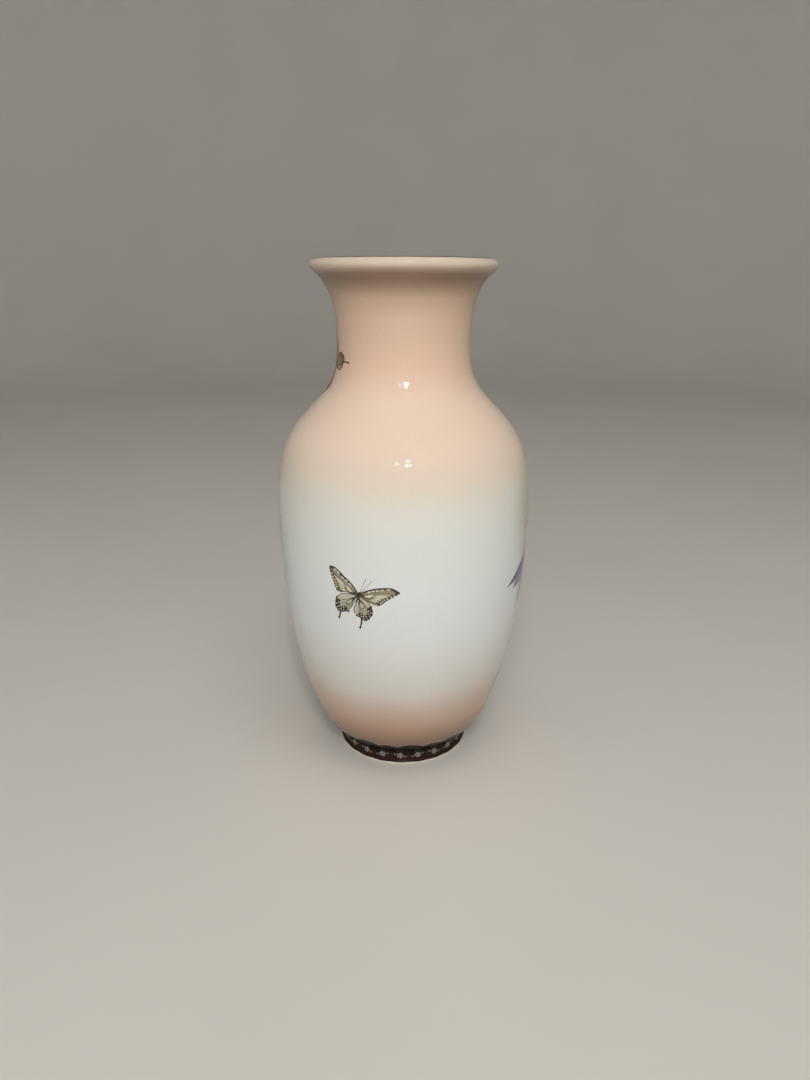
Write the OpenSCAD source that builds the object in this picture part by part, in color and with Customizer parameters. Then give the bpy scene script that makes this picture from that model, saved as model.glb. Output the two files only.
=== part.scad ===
// Porcelain vase with laid-on transfers: butterflies, violet blooms and a lace foot band.
// The origin is the centre of the foot ring on the table, +Z is up and the front faces -Y.

/* [Body] */
// Height from the table to the crown of the lip
height = 240; // [228:1:252]
// Outside diameter at the belly, the widest place
belly_d = 121; // [115:0.5:127]
// Outside diameter at the waist of the neck
neck_d = 61.2; // [56:0.2:66]
// Outside diameter of the rolled lip
lip_d = 84.4; // [82:0.2:88]
// Outside diameter of the spread foot
foot_d = 66; // [64:0.5:68]
// Outside diameter at the waist just above the spread foot
foot_waist_d = 63; // [61:0.5:64]
// Wall thickness, both glazes included
wall = 3.6; // [3:0.1:4.5]
// Radius of the roll that finishes the lip
roll_r = 2.7; // [2.4:0.1:3]
// Depth of the recess under the floor, inside the foot ring
recess = 5.5; // [5:0.1:7]
// Floor thickness, both glazes included
floor_t = 5; // [4:0.1:6]
// Width of the foot ring's standing face, roundings included
ring_w = 4; // [3.5:0.1:5]

/* [Coats] */
// Thickness of each coat of glaze
glaze = 0.3; // [0.2:0.05:0.4]
// Thickness of a fired transfer
film = 0.1; // [0.06:0.02:0.14]
// Thickness of the gold line on the lip
gold = 0.05; // [0.04:0.01:0.08]

/* [Butterflies] */
// Reach of the front butterfly's wing tips from its body
wing_reach = 16.7; // [14:0.1:18]
// Angle of the front butterfly round the vase from the front
front_az = -18.9; // [-30:0.1:0]
// Height of the front butterfly's thorax
front_z = 101.5; // [90:0.1:115]
// Lean of the front butterfly's body from upright
front_lean = -17; // [-40:1:20]
// Size of the neck butterfly beside the front one
neck_scale = 0.88; // [0.6:0.01:0.95]

/* [Blooms] */
// Length of a full petal
petal_l = 36; // [30:0.5:38]
// Length of a full leaf
leaf_l = 32; // [26:0.5:34]
// Width of the main stem
stem_w = 1.8; // [1.4:0.1:2.4]

/* [Lace band] */
// Pairs of one wide and one narrow scallop round the foot
scallop_pairs = 11; // [9:1:12]
// Height of the band's lower edge
lace_low = 1.8; // [1.6:0.1:2.4]
// Height of the line that the scallops rise from
lace_line = 12.8; // [12:0.1:14]
// Rise of the wide scallops
scallop_rise = 3; // [2:0.1:3.4]
// Angle of the first wide scallop round the vase from the front
lace_turn = 5.6; // [-16:0.1:16]

/* [Hidden] */
$fn = 96;
foot_r = foot_d / 2;
ring_in_r = foot_r - ring_w;
edge_r = 0.9;                               // rounding on the foot ring's edges; glaze stops there
floor_z = recess + floor_t;

// Places on the outside surface, as [radius, height], and slopes away from upright
foot_waist = [foot_waist_d / 2, height * 0.026];
heel = [foot_r + 5.5, height * 0.056];      // top of the cove above the foot
belly = [belly_d / 2, height * 0.51];
shoulder = [belly_d * 0.3836, height * 0.7167];
waist = [neck_d / 2, height * 0.852];
roll_c = [lip_d / 2 - roll_r, height - roll_r];
spread = 45;
heel_lean = 35.7;
shoulder_lean = 42.8;
flare_lean = 50;
mouth_turn = 140;                           // where the roll hands over to the inside
inside_low = height * 0.075;                // where the inside wall turns into the floor

// ---- Curves on the wall: a point holds its radius, its height and its outward normal ----

function lean(a) = [sin(a), cos(a)];
function bez(p, t) = pow(1 - t, 3) * p[0] + 3 * t * pow(1 - t, 2) * p[1]
    + 3 * t * t * (1 - t) * p[2] + pow(t, 3) * p[3];
function bez_way(p, t) = pow(1 - t, 2) * (p[1] - p[0]) + 2 * t * (1 - t) * (p[2] - p[1])
    + t * t * (p[3] - p[2]);
function curve(p, n, last = 0) = [for (i = [0 : n - 1 + last])
    let (q = bez(p, i / n), d = bez_way(p, i / n), l = norm(d)) [q.x, q.y, d.y / l, -d.x / l]];
function turn(c, r, a0, a1, n, last = 0) = [for (i = [0 : n - 1 + last])
    let (a = a0 + (a1 - a0) * i / n) [c.x + r * cos(a), c.y + r * sin(a), cos(a), sin(a)]];
function shift(pts, o) = [for (q = pts) [q[0] + o * q[2], q[1] + o * q[3]]];
function back(pts) = [for (i = [len(pts) - 1 : -1 : 0]) pts[i]];
function between(pts, z0, z1) = [for (q = pts) if (q[1] > z0 && q[1] < z1) q];

// Outside surface, from the foot ring to the crown of the lip
roll_start = roll_c + roll_r * [cos(flare_lean), -sin(flare_lean)];
edge_c = [foot_r - edge_r, edge_r];
edge = turn(edge_c, edge_r, 0, spread, 3);
edge_end = edge_c + edge_r * lean(90 - spread);
foot = curve([edge_end, edge_end + 1.6 * lean(-spread), foot_waist - [0, 2.2], foot_waist], 6);
cove = curve([foot_waist, foot_waist + [0, 3.2], heel - 4.4 * lean(heel_lean), heel], 8);
lower = curve([heel, heel + 37 * lean(heel_lean), belly - [0, 3], belly], 16);
upper = curve([belly, belly + [0, 28.5], shoulder + 17 * lean(180 - shoulder_lean), shoulder], 12);
collar = curve([shoulder, shoulder - 14.7 * lean(180 - shoulder_lean),
    waist - [0, 19.5], waist], 12);
flare = curve([waist, waist + [0, 16], roll_start - 10.3 * lean(flare_lean), roll_start], 10);
crown = turn(roll_c, roll_r, -flare_lean, 90, 10, 1);
outside = concat(edge, foot, cove, lower, upper, collar, flare, crown);
wall_table = [for (q = outside) [q[1], q[0]]];
function wall_r(z) = lookup(z, wall_table);

// Inside surface, from the crown of the lip down to the middle of the floor
mouth = turn(roll_c, roll_r, 90, mouth_turn, 4);
mouth_end = roll_c + roll_r * [cos(mouth_turn), sin(mouth_turn)];
bore = waist - [wall, 0];
throat = curve([mouth_end, mouth_end + 9 * lean(mouth_turn + 90 - 10), bore + [0, 17], bore], 10);
inside_wall = back([for (q = between(concat(lower, upper, collar), inside_low, waist.y))
    [q[0] - wall * q[2], q[1] - wall * q[3], -q[2], -q[3]]]);
bend = inside_wall[len(inside_wall) - 1];
bend_p = [bend[0], bend[1]];
bowl = curve([bend_p, bend_p - 9 * [bend[3], -bend[2]], [bend[0] * 0.5, floor_z], [0, floor_z]],
    10, 1);
inside = concat(mouth, throat, inside_wall, [for (i = [1 : len(bowl) - 1]) bowl[i]]);

// ---- Coats, and transfers cut from a thin film on the outside ----

module coat(surface, low, high) {
    rotate_extrude() polygon(concat(shift(surface, high), back(shift(surface, low))));
}

// The film from z0 to z1, cut to its child's outline as seen from angle az
module transfer(az, z0, z1) {
    intersection() {
        coat(between(outside, z0, z1), 0, film);
        rotate([0, 0, az])
            rotate([90, 0, 0])
                linear_extrude(height = belly_d)
                    children();
    }
}

// Points hold a length along the wall and a height; laid() shows them from the middle
function placed(pts, at, tilt, size = 1) = [for (q = pts)
    at + size * [q.x * cos(tilt) - q.y * sin(tilt), q.x * sin(tilt) + q.y * cos(tilt)]];
module laid(pts) {
    polygon([for (q = pts) let (r = wall_r(q.y)) [r * sin(q.x / r * 180 / PI), q.y]]);
}

// ---- Outlines of the transfers ----

function outline(parts, n) = [for (p = parts) for (i = [0 : n - 1]) bez(p, i / n)];
function flip(pts) = [for (q = pts) [-q.x, q.y]];

// A pointed petal or leaf along +X; a lower bulge moves its widest place to the tip
function blade_side(l, w, bulge, n) = [for (i = [0 : n])
    let (t = i / n) [l * t, w / 2 * sin(180 * pow(t, bulge))]];
function blade(l, w, bulge = 1, n = 12) = let (side = blade_side(l, w, bulge, n))
    concat(side, [for (i = [n - 1 : -1 : 1]) [side[i].x, -side[i].y]]);

// One side of a swallowtail with a wing reach of 1: fore wing, and hind wing with its tail
fore_wing = outline([
    [[0.03, 0.06], [0.3, 0.42], [0.72, 0.56], [1, 0.45]],
    [[1, 0.45], [0.9, 0.3], [0.74, 0.1], [0.6, -0.11]],
    [[0.6, -0.11], [0.4, -0.15], [0.2, -0.05], [0.03, -0.04]]], 8);
hind_wing = outline([
    [[0.03, -0.03], [0.3, -0.06], [0.56, -0.12], [0.57, -0.36]],
    [[0.57, -0.36], [0.57, -0.5], [0.48, -0.66], [0.36, -0.67]],
    [[0.36, -0.67], [0.35, -0.78], [0.35, -0.86], [0.33, -0.92]],
    [[0.33, -0.92], [0.27, -0.92], [0.28, -0.8], [0.27, -0.64]],
    [[0.27, -0.64], [0.14, -0.6], [0, -0.5], [0.02, -0.12]]], 6);
thorax = outline([
    [[0, 0.13], [0.07, 0.08], [0.06, -0.3], [0, -0.46]],
    [[0, -0.46], [-0.06, -0.3], [-0.07, 0.08], [0, 0.13]]], 6);

// With the wings half closed, one hind wing hides the other
closed_wings = [fore_wing, flip(fore_wing), hind_wing, thorax];
open_wings = concat(closed_wings, [flip(hind_wing)]);

module butterfly(az, z, tilt, size, shapes) {
    reach = size * 1.3;
    transfer(az, z - reach, z + reach)
        for (shape = shapes)
            laid(placed(shape, [0, z], tilt, size));
}

// A bloom: its petals are [tilt, length, width] in parts of a full petal
module bloom(az, z, petals, l) {
    transfer(az, z - l * 1.4, z + l * 1.4)
        for (p = petals)
            laid(placed(blade(p[1] * l, p[2] * l, 0.85), [0, z], p[0]));
}

// A stem along one curve of [angle, height] places, tapering to its end
module stem(p, w) {
    path = [for (i = [0 : 10]) bez(p, i / 10)];
    mid = (path[0].x + path[10].x) / 2;
    line = [for (q = path) [(q.x - mid) * PI / 180 * wall_r(q.y), q.y]];
    way = line[10] - line[0];
    side = [-way.y, way.x] / norm(way);
    heights = [for (q = line) q.y];
    transfer(mid, min(heights) - 14, max(heights) + 14)
        laid(concat([for (i = [0 : 10]) line[i] + side * w * (0.5 - 0.02 * i)],
            [for (i = [10 : -1 : 0]) line[i] - side * w * (0.5 - 0.02 * i)]));
}

// One lobe of the lace, on a cutter that reaches out from the axis
module scallop(az, half_w, rise) {
    rotate([0, 0, az])
        rotate([90, 0, 0])
            linear_extrude(height = belly.x)
                translate([0, lace_line - 1])
                    polygon([for (i = [0 : 12])
                        [-half_w * cos(i * 15), (rise + 1) * sin(i * 15)]]);
}

right_petals = [[206, 1.13, 0.42], [199.5, 1.27, 0.24], [140, 0.72, 0.4], [105, 1, 0.42], [60, 1.08, 0.4],
    [15, 1.04, 0.4], [325, 0.94, 0.4], [278, 1, 0.4], [226, 1.08, 0.44]];
full_petals = [for (i = [0 : 7]) [i * 45 + 12, 1, 0.42]];
// Each stem is a curve of [angle, height] places
stems = [[[174, 46], [172, 60], [140, 74], [112, 92]],
    [[176, 44], [182, 64], [172, 84], [178, 118]],
    [[179, 46], [196, 56], [226, 66], [246, 88]],
    [[150, 112], [146, 130], [142, 144], [134, 156]],
    [[204, 118], [210, 130], [216, 142], [222, 148]]];
// Leaves are [angle, height, tilt, length in parts of a full leaf]
leaves = [[168, 62, 205, 1], [158, 74, 118, 0.7], [138, 74, 250, 0.8], [183, 62, 322, 0.95],
    [208, 66, 80, 0.75], [222, 70, 292, 0.85], [142, 128, 20, 0.7], [212, 138, 165, 0.6]];
// Buds are [angle, height, tilt]
buds = [[134, 155, 128], [222, 147, 62], [203, 167, 75]];

// ---- The sub-parts ----

module porcelain_body() {
    quarter = [for (i = [0 : 5]) i * 18];
    color([0.93, 0.92, 0.89])
        rotate_extrude()
            polygon(concat(
                [[0, recess + glaze], [ring_in_r, recess + glaze]],
                [for (a = quarter) [ring_in_r + edge_r * (1 - cos(a)), edge_r * (1 - sin(a))]],
                [for (a = quarter)
                    [foot_r - glaze - edge_r * (1 - sin(a)), edge_r * (1 - cos(a))]],
                shift([for (i = [1 : len(outside) - 1]) outside[i]], -glaze),
                shift([for (i = [1 : len(inside) - 1]) inside[i]], -glaze)));
}

module outer_glaze() {
    color([0.86, 0.86, 0.82])
        coat(outside, -glaze, 0);
}

module inner_glaze() {
    color([0.9, 0.9, 0.87])
        coat(inside, -glaze, 0);
}

module foot_recess_glaze() {
    color([0.9, 0.9, 0.87])
        translate([0, 0, recess])
            cylinder(r = ring_in_r, h = glaze);
}

module lip_gilding() {
    color([0.62, 0.47, 0.2])
        coat(turn(roll_c, roll_r, 64, 120, 6, 1), 0, gold);
}

module foot_lace_band() {
    pitch = 360 / scallop_pairs;
    wide = heel.x * pitch * PI / 180 * 0.325;
    color([0.1, 0.08, 0.08])
        intersection() {
            coat(between(outside, edge_r, lace_line + 5 * scallop_rise), 0, film);
            union() {
                translate([0, 0, lace_low])
                    cylinder(r = belly.x, h = lace_line - lace_low);
                for (i = [0 : scallop_pairs - 1]) {
                    scallop(lace_turn + i * pitch, wide, scallop_rise);
                    scallop(lace_turn + (i + 0.5) * pitch, wide * 0.78, scallop_rise * 0.75);
                }
            }
        }
}

module front_butterfly() {
    color([0.62, 0.6, 0.47])
        butterfly(front_az, front_z, front_lean, wing_reach, open_wings);
}

module neck_butterfly() {
    color([0.5, 0.49, 0.3])
        butterfly(-77, height * 0.8075, 83, wing_reach * neck_scale, closed_wings);
}

module right_bloom() {
    color([0.42, 0.38, 0.58])
        bloom(95, height * 0.467, right_petals, petal_l);
}

module centre_bloom() {
    color([0.4, 0.36, 0.6])
        bloom(178, height * 0.575, full_petals, petal_l * 0.92);
}

module left_bloom() {
    color([0.5, 0.44, 0.64])
        bloom(258, height * 0.442, full_petals, petal_l * 0.8);
}

module bloom_stems() {
    color([0.3, 0.36, 0.22])
        for (i = [0 : len(stems) - 1])
            stem(stems[i], i < 3 ? stem_w : stem_w * 0.6);
}

module leaf_spray() {
    color([0.36, 0.42, 0.26])
        for (p = leaves) {
            l = leaf_l * p[3];
            transfer(p[0], p[1] - l - 12, p[1] + l + 12)
                laid(placed(blade(l, l * 0.34, 0.9), [0, p[1]], p[2]));
        }
}

module bud_sprig() {
    color([0.46, 0.36, 0.52])
        for (p = buds)
            transfer(p[0], p[1] - 20, p[1] + 20)
                laid(placed(blade(12, 5, 0.8), [0, p[1]], p[2]));
}

porcelain_body();
outer_glaze();
inner_glaze();
foot_recess_glaze();
lip_gilding();
foot_lace_band();
front_butterfly();
neck_butterfly();
right_bloom();
centre_bloom();
left_bloom();
bloom_stems();
leaf_spray();
bud_sprig();
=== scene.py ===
# A baluster vase in glazed porcelain: a blush of peach glaze, a gold line on the lip,
# a black lace round the foot, and printed butterflies and violet blooms.
# Metres throughout, in the part's own frame: +Z is up and the front faces -Y.
import bisect
import math
import bpy
from mathutils import Matrix, Vector
from mathutils.geometry import delaunay_2d_cdt


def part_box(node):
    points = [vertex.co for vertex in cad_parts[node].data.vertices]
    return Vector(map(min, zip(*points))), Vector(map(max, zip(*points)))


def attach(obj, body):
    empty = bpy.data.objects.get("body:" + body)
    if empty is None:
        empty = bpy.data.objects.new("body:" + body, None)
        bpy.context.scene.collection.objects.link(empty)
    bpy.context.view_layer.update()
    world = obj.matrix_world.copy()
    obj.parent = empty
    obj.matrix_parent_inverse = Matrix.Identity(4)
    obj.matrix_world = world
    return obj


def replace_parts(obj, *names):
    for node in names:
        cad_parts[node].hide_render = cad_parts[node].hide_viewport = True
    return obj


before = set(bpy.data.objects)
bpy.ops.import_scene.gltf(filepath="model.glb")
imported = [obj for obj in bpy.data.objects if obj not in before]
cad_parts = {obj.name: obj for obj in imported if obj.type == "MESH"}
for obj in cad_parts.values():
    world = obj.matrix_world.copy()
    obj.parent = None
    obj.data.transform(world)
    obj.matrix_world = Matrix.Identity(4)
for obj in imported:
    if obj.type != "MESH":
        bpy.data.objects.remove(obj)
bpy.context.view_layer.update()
scene = bpy.context.scene
mm = 0.001
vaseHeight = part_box("outer_glaze")[1].z


# Nodes, colours and meshes

def hexColour(code):
    parts = [int(code[i:i + 2], 16) / 255 for i in (1, 3, 5)]
    return [p / 12.92 if p <= 0.04045 else ((p + 0.055) / 1.055) ** 2.4 for p in parts] + [1]


def addNode(tree, kind, inputs=None, stops=None, **settings):
    # one node: a socket given as an input is linked, anything else is set on it
    node = tree.nodes.new("ShaderNode" + kind)
    for key, value in settings.items():
        setattr(node, key, value)
    for key, value in (inputs or {}).items():
        if isinstance(value, bpy.types.NodeSocket):
            tree.links.new(value, node.inputs[key])
        else:
            node.inputs[key].default_value = hexColour(value) if isinstance(value, str) else value
    if stops:
        ramp = node.color_ramp
        ramp.elements[0].position, ramp.elements[0].color = stops[0][0], hexColour(stops[0][1])
        ramp.elements[1].position, ramp.elements[1].color = stops[-1][0], hexColour(stops[-1][1])
        for place, code in stops[1:-1]:
            ramp.elements.new(place).color = hexColour(code)
    return node


def startMaterial(name):
    material = bpy.data.materials.new(name)
    material.use_nodes = True
    material.node_tree.nodes.clear()
    return material, material.node_tree


def finishMaterial(tree, inputs):
    shader = addNode(tree, "BsdfPrincipled", inputs)
    addNode(tree, "OutputMaterial", {"Surface": shader.outputs[0]})


def makePiece(name, points, faces, material, marks=None):
    # a mesh that rides on the vase; marks are named numbers held by its points
    mesh = bpy.data.meshes.new(name)
    mesh.from_pydata(points, [], faces)
    for mark, values in (marks or {}).items():
        mesh.attributes.new(mark, "FLOAT", "POINT").data.foreach_set("value", values)
    mesh.materials.append(material)
    mesh.validate()
    mesh.shade_smooth()
    mesh.set_sharp_from_angle(angle=math.radians(40))    # films and coats keep a crisp rim
    piece = bpy.data.objects.new(name, mesh)
    scene.collection.objects.link(piece)
    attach(piece, "root")
    return piece


def turned(name, loop, material, segments=192):
    # spins a closed loop of (radius, height) round the axis; a radius of 0 is one point
    points, rings, faces = [], [], []
    for r, z in loop:
        if r < 1e-6:
            rings.append([len(points)] * segments)
            points.append((0, 0, z))
        else:
            rings.append(list(range(len(points), len(points) + segments)))
            points += [(r * math.sin(2 * math.pi * k / segments),
                        -r * math.cos(2 * math.pi * k / segments), z) for k in range(segments)]
    for i, low in enumerate(rings):
        high = rings[(i + 1) % len(rings)]
        if low[0] == low[1] and high[0] == high[1]:
            continue
        for k in range(segments):
            n = (k + 1) % segments
            face = [low[k], low[n], high[n], high[k]]
            faces.append(list(dict.fromkeys(face)))
    return makePiece(name, points, faces, material)


# The camera, the sweep and the lights

cameraPlace = {"back": 1.5366, "height": 0.9622, "pitch": 18.43, "yaw": 0.13, "roll": 0.18, "lens": 26.0}


def addCamera():
    yaw, pitch, roll = (math.radians(cameraPlace[k]) for k in ("yaw", "pitch", "roll"))
    ahead = Vector((math.sin(yaw) * math.cos(pitch), math.cos(yaw) * math.cos(pitch), -math.sin(pitch)))
    right = Vector((math.cos(yaw), -math.sin(yaw), 0))
    up = right.cross(ahead)
    right, up = (math.cos(roll) * right + math.sin(roll) * up,
                 math.cos(roll) * up - math.sin(roll) * right)
    lens = bpy.data.cameras.new("camera")
    lens.lens, lens.sensor_width, lens.clip_start = cameraPlace["lens"], 36, 0.01
    camera = bpy.data.objects.new("camera", lens)
    turn = Matrix((right, up, -ahead)).transposed()
    place = Vector((0, -cameraPlace["back"], cameraPlace["height"])) * vaseHeight
    camera.matrix_world = Matrix.Translation(place) @ turn.to_4x4()
    scene.collection.objects.link(camera)
    scene.camera = camera


studio = {
    "floorR": 1.5, "sweepR": 0.7, "wallTop": 2.4, "floorHex": "#e0deda", "mottleHex": "#e4e2de",
    "worldHex": "#f4f4f4", "worldPower": 0.17,
    # two big soft boxes that the glaze doesn't mirror; each aims at a height on the axis
    "softHex": "#fffefb",
    "softTop": {"place": (0.15, -0.55, 1.35), "aim": 0.15, "power": 3.9, "size": 0.9},
    "softFront": {"place": (-0.05, -1.25, 0.7), "aim": 0.12, "power": 4.2, "size": 0.5},
    # a cluster of small lamps that the glaze does mirror: degrees across and up from the
    # middle of the cluster, and a share of the power
    "lamps": [(-6.4, -1.0, 0.8), (4.8, 2.8, 1.2), (3.0, -3.6, 0.9), (6.4, -3.2, 0.9)],
    "lampAway": 1.2, "lampHeight": 38.0, "lampAim": 0.15, "lampPower": 4.0,
    "lampRadius": 20 * mm, "lampHex": "#fff7ea",
}


def addStudio():
    # one pale seamless bowl: a flat floor that curves up into a wall all round
    bends, steps = 16, 64
    line = [(0, 0), (0.4, 0), (1.0, 0), (studio["floorR"], 0)]
    for i in range(1, bends + 1):
        a = math.radians(90 * i / bends)
        line.append((studio["floorR"] + studio["sweepR"] * math.sin(a),
                     studio["sweepR"] * (1 - math.cos(a))))
    line.append((studio["floorR"] + studio["sweepR"], studio["wallTop"]))
    points, faces = [(0, 0, 0)], []
    for r, z in line[1:]:
        points += [(r * math.cos(2 * math.pi * k / steps), r * math.sin(2 * math.pi * k / steps), z)
                   for k in range(steps)]
    for k in range(steps):
        n = (k + 1) % steps
        faces.append((0, 1 + k, 1 + n))
        for i in range(len(line) - 2):
            a, b = 1 + i * steps, 1 + (i + 1) * steps
            faces.append((a + k, b + k, b + n, a + n))
    # matt painted board: even, with a very faint roller texture
    material, tree = startMaterial("mattPaintedBoard")
    place = addNode(tree, "TexCoord").outputs["Object"]
    mottle = addNode(tree, "TexNoise", {"Vector": place, "Scale": 6.0, "Detail": 3.0})
    colour = addNode(tree, "ValToRGB", {0: mottle.outputs[0]},
                     [(0.3, studio["floorHex"]), (0.7, studio["mottleHex"])])
    finishMaterial(tree, {"Base Color": colour.outputs[0], "Roughness": 0.75,
                          "Specular IOR Level": 0.3})
    mesh = bpy.data.meshes.new("sweep")
    mesh.from_pydata(points, [], faces)
    mesh.materials.append(material)
    mesh.shade_smooth()
    sweep = bpy.data.objects.new("sweep", mesh)
    scene.collection.objects.link(sweep)


def addLight(name, place, aim, power, code, size, kind="AREA", seen=True):
    light = bpy.data.lights.new(name, kind)
    light.energy, light.color = power, hexColour(code)[:3]
    if kind == "AREA":
        light.shape, light.size = "DISK", size
    else:
        light.shadow_soft_size = size
    lamp = bpy.data.objects.new(name, light)
    lamp.location = place
    lamp.rotation_euler = (Vector(aim) - Vector(place)).to_track_quat("-Z", "Y").to_euler()
    lamp.visible_glossy = seen
    scene.collection.objects.link(lamp)


def addLights():
    world = bpy.data.worlds.new("softRoom")
    world.use_nodes = True
    back = world.node_tree.nodes["Background"]
    back.inputs[0].default_value = hexColour(studio["worldHex"])
    back.inputs[1].default_value = studio["worldPower"]
    scene.world = world
    for name in ("softTop", "softFront"):
        box = studio[name]
        addLight(name, box["place"], (0, 0, box["aim"]), box["power"], studio["softHex"], box["size"],
                 seen=False)
    away, aim = studio["lampAway"], studio["lampAim"]
    for i, (across, up, share) in enumerate(studio["lamps"]):
        az, tilt = math.radians(across), math.radians(studio["lampHeight"] + up)
        place = (away * math.cos(tilt) * math.sin(az), -away * math.cos(tilt) * math.cos(az),
                 aim + away * math.sin(tilt))
        addLight(f"lamp{i}", place, (0, 0, aim), studio["lampPower"] * share, studio["lampHex"],
                 studio["lampRadius"], "POINT")


addCamera()
addStudio()
addLights()
scene.view_settings.view_transform = "Standard"
print("camera, sweep and lights are set")


# The wall, read from the two coats of glaze

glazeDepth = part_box("outer_glaze")[1].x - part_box("porcelain_body")[1].x
nearness = {"level": 2e-6, "repeat": 20e-6, "straight": 4e-6}    # in metres


def shownLine(node, depth, side):
    # the shown side of a turned coat, as (radius, height) from low to high; side is 1
    # where the shown side is the outer one and -1 where it is the inner one
    rings = {(round(math.hypot(v.co.x, v.co.y), 6), round(v.co.z, 6))
             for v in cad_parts[node].data.vertices}
    shown = []
    for r, z in rings:
        partner = min(rings, key=lambda p: abs(math.hypot(p[0] - r, p[1] - z) - depth))
        apart = side * (r - partner[0])
        if apart > nearness["level"] or (abs(apart) <= nearness["level"] and z > partner[1]):
            shown.append((r, z))
    # rings that repeat, or lie on the straight between their neighbours, add nothing
    line = []
    for ring in sorted(shown, key=lambda ring: ring[1]):
        if line and math.dist(line[-1], ring) < nearness["repeat"]:
            continue
        if len(line) > 1:
            (r0, z0), (r1, z1) = line[-2:]
            off = (r1 - r0) * (ring[1] - z0) - (z1 - z0) * (ring[0] - r0)
            if abs(off) / math.dist(line[-2], ring) < nearness["straight"]:
                line.pop()
        line.append(ring)
    return line


def smoothLine(points, steps, closed=False):
    # a soft curve through points on a plane; its slopes are weighted by the spacing
    count = len(points)
    last = count if closed else count - 1
    gaps = [max(math.dist(points[i], points[(i + 1) % count]), 1e-9) for i in range(last)]
    slopes = []
    for i in range(count):
        behind = gaps[i - 1] if i or closed else 0
        ahead = gaps[i] if i < last else 0
        slope = []
        for k in (0, 1):
            came = (points[i][k] - points[i - 1][k]) / behind if behind else 0
            goes = (points[(i + 1) % count][k] - points[i][k]) / ahead if ahead else 0
            slope.append((came * ahead + goes * behind) / (ahead + behind) if behind and ahead
                         else came + goes)
        slopes.append(slope)
    line = []
    for i in range(last):
        j = (i + 1) % count
        for s in range(steps):
            t = s / steps
            line.append(tuple(
                (2 * t**3 - 3 * t**2 + 1) * points[i][k] + (t**3 - 2 * t**2 + t) * gaps[i] * slopes[i][k]
                + (3 * t**2 - 2 * t**3) * points[j][k] + (t**3 - t**2) * gaps[i] * slopes[j][k]
                for k in (0, 1)))
    return line if closed else line + [tuple(points[-1])]


outerRings = shownLine("outer_glaze", glazeDepth, 1)
innerRings = shownLine("inner_glaze", glazeDepth, -1)
wallLine = smoothLine(outerRings, 3)
wallHeights = [z for r, z in wallLine]
wallNormals = []
for i in range(len(wallLine)):
    (r0, z0), (r1, z1) = wallLine[max(i - 1, 0)], wallLine[min(i + 1, len(wallLine) - 1)]
    long = math.hypot(r1 - r0, z1 - z0)
    wallNormals.append(((z1 - z0) / long, (r0 - r1) / long))


def onWall(angle, z, lift):
    # the point on the wall at an angle from the front, towards +X, in degrees
    i = min(max(bisect.bisect(wallHeights, z) - 1, 0), len(wallLine) - 2)
    t = (z - wallHeights[i]) / (wallHeights[i + 1] - wallHeights[i])
    r, nr, nz = (a + (b - a) * t for a, b in
                 zip((wallLine[i][0], *wallNormals[i]), (wallLine[i + 1][0], *wallNormals[i + 1])))
    r += nr * lift
    a = math.radians(angle)
    return (r * math.sin(a), -r * math.cos(a), z + nz * lift)


def wallRadius(z):
    return -onWall(0, z, 0)[1]


# Glazed porcelain: fired glass over white clay, so it is wet-looking, slightly wavy, and
# the peach blush sprayed under it fades without an edge
blushAndShade = {
    # the colour at each share of the height, from the foot to the crown of the lip. The dark browns low on
    # the foot are the peach blush deepened with painted shade, and the dark band just under the roll of the
    # lip, from 0.95 to 0.974, is painted shade under the flare
    "ramp": [(0.0, "#e6e0d6"), (0.009, "#e2dacf"), (0.019, "#92796a"), (0.075, "#8b7163"), (0.09, "#9f7e6c"),
             (0.11, "#b08f7a"), (0.13, "#bfa18c"), (0.172, "#cdb8ad"), (0.21, "#d7d1ca"), (0.25, "#dadad6"),
             (0.28, "#dfdfde"), (0.33, "#e3e7e9"), (0.43, "#e6ebee"), (0.545, "#e5e7e3"), (0.585, "#e6e3dc"),
             (0.61, "#e8ded2"), (0.64, "#ebd9c9"), (0.69, "#f2dbc8"), (0.75, "#f3dac6"), (0.81, "#ebc9b4"),
             (0.86, "#e2c2ac"), (0.9, "#dcbba6"), (0.932, "#c9ad97"), (0.95, "#a58e78"), (0.965, "#8c7460"),
             (0.974, "#8f7966"), (0.981, "#bda897"), (0.988, "#d8c9ba"), (1.0, "#dbcbbc")],
    "drift": 5 * mm, "driftSize": 34 * mm,          # how far and how broadly the blush wanders
    "grainSize": 0.9 * mm,                           # spray specks; the real ones are about 0.3 mm
    # soft sprayed clouds: degrees round, millimetres up, reach in millimetres, colour, strength
    "hazes": [(-98, 106, 46, "#9d96bd", 0.55), (82, 131, 34, "#b2b27c", 0.6),
              (178, 140, 52, "#a79fc4", 0.5), (96, 104, 40, "#a99fc0", 0.5), (176, 66, 40, "#b3bb90", 0.35)],
}
glazeSkin = {"waveSize": 12 * mm, "waveDepth": 0.12 * mm,        # the slow roll of the fired surface
             "peelSize": 2.2 * mm, "peelDepth": 0.012 * mm}      # finer orange peel on top of it


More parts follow.
